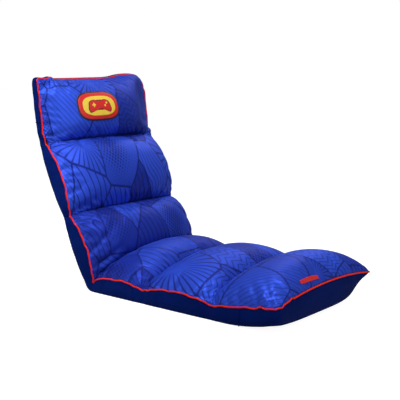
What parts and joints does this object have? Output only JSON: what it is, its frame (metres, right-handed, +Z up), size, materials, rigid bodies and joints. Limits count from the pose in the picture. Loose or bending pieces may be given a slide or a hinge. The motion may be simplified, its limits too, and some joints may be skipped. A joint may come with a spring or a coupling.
{
  "type": "floor gaming chair",
  "caption": "Legless padded floor chair with channel-quilted seat, back and head sections on a steel frame, joined by ratchet hinges so that it reclines and lies flat.",
  "frame": {"origin": "on the floor, at the middle of the chair's footprint in the pictured pose", "axes": "+Z up, +X to the sitter's left, and the sitter faces -Y"},
  "size_m": [0.5444, 1.0367, 0.7381],
  "materials": {
    "top_fabric": "printed satin polyester",
    "border_fabric": "plain navy weave",
    "piping_cord": "covered cord",
    "foam": "open-cell foam",
    "tube_steel": "black powder coat",
    "hinge_steel": "zinc plated",
    "spring_steel": "blued spring steel"
  },
  "bodies": {
    "seat": {"recline_band": "border_fabric", "recline_cheeks_left": "hinge_steel", "recline_cheeks_right": "hinge_steel", "recline_pawl_pin_left": "hinge_steel", "recline_pawl_pin_right": "hinge_steel", "recline_pawl_spring_left": "spring_steel", "recline_pawl_spring_right": "spring_steel", "recline_pivot_pin_left": "hinge_steel", "recline_pivot_pin_right": "hinge_steel", "seat_cover": "border_fabric", "seat_cross_tubes": "tube_steel", "seat_foam": "foam", "seat_frame_tube": "tube_steel", "seat_front_channel": "top_fabric", "seat_middle_channel": "top_fabric", "seat_piping": "piping_cord", "seat_rear_channel": "top_fabric"},
    "backrest": {"back_cover": "border_fabric", "back_cross_tubes": "tube_steel", "back_foam": "foam", "back_lower_channel": "top_fabric", "back_piping": "piping_cord", "back_side_tube_left": "tube_steel", "back_side_tube_right": "tube_steel", "back_upper_channel": "top_fabric", "neck_band": "border_fabric", "neck_cheeks_left": "hinge_steel", "neck_cheeks_right": "hinge_steel", "neck_pawl_pin_left": "hinge_steel", "neck_pawl_pin_right": "hinge_steel", "neck_pawl_spring_left": "spring_steel", "neck_pawl_spring_right": "spring_steel", "neck_pivot_pin_left": "hinge_steel", "neck_pivot_pin_right": "hinge_steel", "recline_ratchet_arm_left": "hinge_steel", "recline_ratchet_arm_right": "hinge_steel"},
    "headrest": {"head_channel": "top_fabric", "head_cover": "border_fabric", "head_foam": "foam", "head_frame_tube": "tube_steel", "head_piping": "piping_cord", "neck_ratchet_arm_left": "hinge_steel", "neck_ratchet_arm_right": "hinge_steel"},
    "neck_pawl_left": {"neck_pawl_left": "hinge_steel"},
    "neck_pawl_right": {"neck_pawl_right": "hinge_steel"},
    "recline_pawl_left": {"recline_pawl_left": "hinge_steel"},
    "recline_pawl_right": {"recline_pawl_right": "hinge_steel"}
  },
  "joints": [
    {"name": "recline", "type": "hinge", "parent": "seat", "child": "backrest", "pos_m": [0, 0.24179, 0.036], "axis": [-1, 0, 0], "range_deg": [-55, 65], "deforming": ["seat_rear_channel", "back_lower_channel", "recline_band"]},
    {"name": "neck_tilt", "type": "hinge", "parent": "backrest", "child": "headrest", "pos_m": [0, 0.45732, 0.49822], "axis": [1, 0, 0], "range_deg": [-19, 51], "deforming": ["back_upper_channel", "head_channel", "neck_band"]},
    {"name": "recline_pawl_lift_left", "type": "hinge", "parent": "seat", "child": "recline_pawl_left", "pos_m": [0.236, 0.20879, 0.024], "axis": [-1, 0, 0], "range_deg": [0, 12], "stiffness_Nm_per_rad": 0.2, "springref_deg": -5.73, "deforming": ["recline_pawl_spring_left"]},
    {"name": "recline_pawl_lift_right", "type": "hinge", "parent": "seat", "child": "recline_pawl_right", "pos_m": [-0.236, 0.20879, 0.024], "axis": [-1, 0, 0], "range_deg": [0, 12], "stiffness_Nm_per_rad": 0.2, "springref_deg": -5.73, "deforming": ["recline_pawl_spring_right"]},
    {"name": "neck_pawl_lift_left", "type": "hinge", "parent": "backrest", "child": "neck_pawl_left", "pos_m": [0.236, 0.45425, 0.46324], "axis": [-1, 0, 0], "range_deg": [0, 12], "stiffness_Nm_per_rad": 0.2, "springref_deg": -5.73, "deforming": ["neck_pawl_spring_left"]},
    {"name": "neck_pawl_lift_right", "type": "hinge", "parent": "backrest", "child": "neck_pawl_right", "pos_m": [-0.236, 0.45425, 0.46324], "axis": [-1, 0, 0], "range_deg": [0, 12], "stiffness_Nm_per_rad": 0.2, "springref_deg": -5.73, "deforming": ["neck_pawl_spring_right"]}
  ]
}
